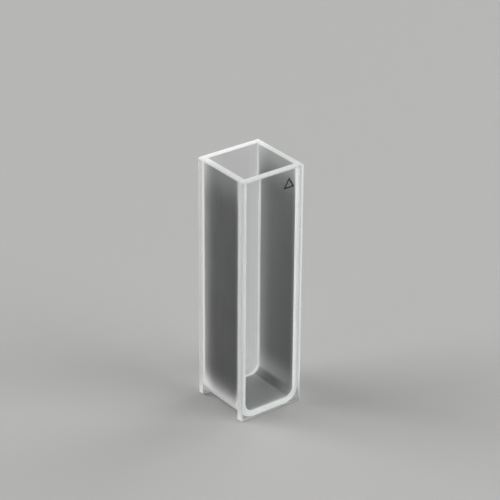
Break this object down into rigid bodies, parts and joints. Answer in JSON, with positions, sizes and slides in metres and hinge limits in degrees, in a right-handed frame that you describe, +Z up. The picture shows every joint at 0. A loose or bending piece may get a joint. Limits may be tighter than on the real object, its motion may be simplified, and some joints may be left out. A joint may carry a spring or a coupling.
{
  "type": "cuvette",
  "caption": "Open square quartz cell for a spectrophotometer, with a frosted U-shaped frame fused between clear polished windows.",
  "frame": {"origin": "centre of the base, on the surface that the cell stands on", "axes": "+Z up to the open mouth; Y is the light path through the clear windows, with the marked front window at -Y; X crosses the frosted side walls"},
  "size_m": [0.0126, 0.0126, 0.045],
  "materials": {
    "frosted_quartz": "ground matt, translucent",
    "clear_quartz": "polished clear faces, fine-ground edges"
  },
  "bodies": {
    "root": {"u_frame": "frosted_quartz", "front_window": "clear_quartz", "rear_window": "clear_quartz"}
  },
  "joints": []
}
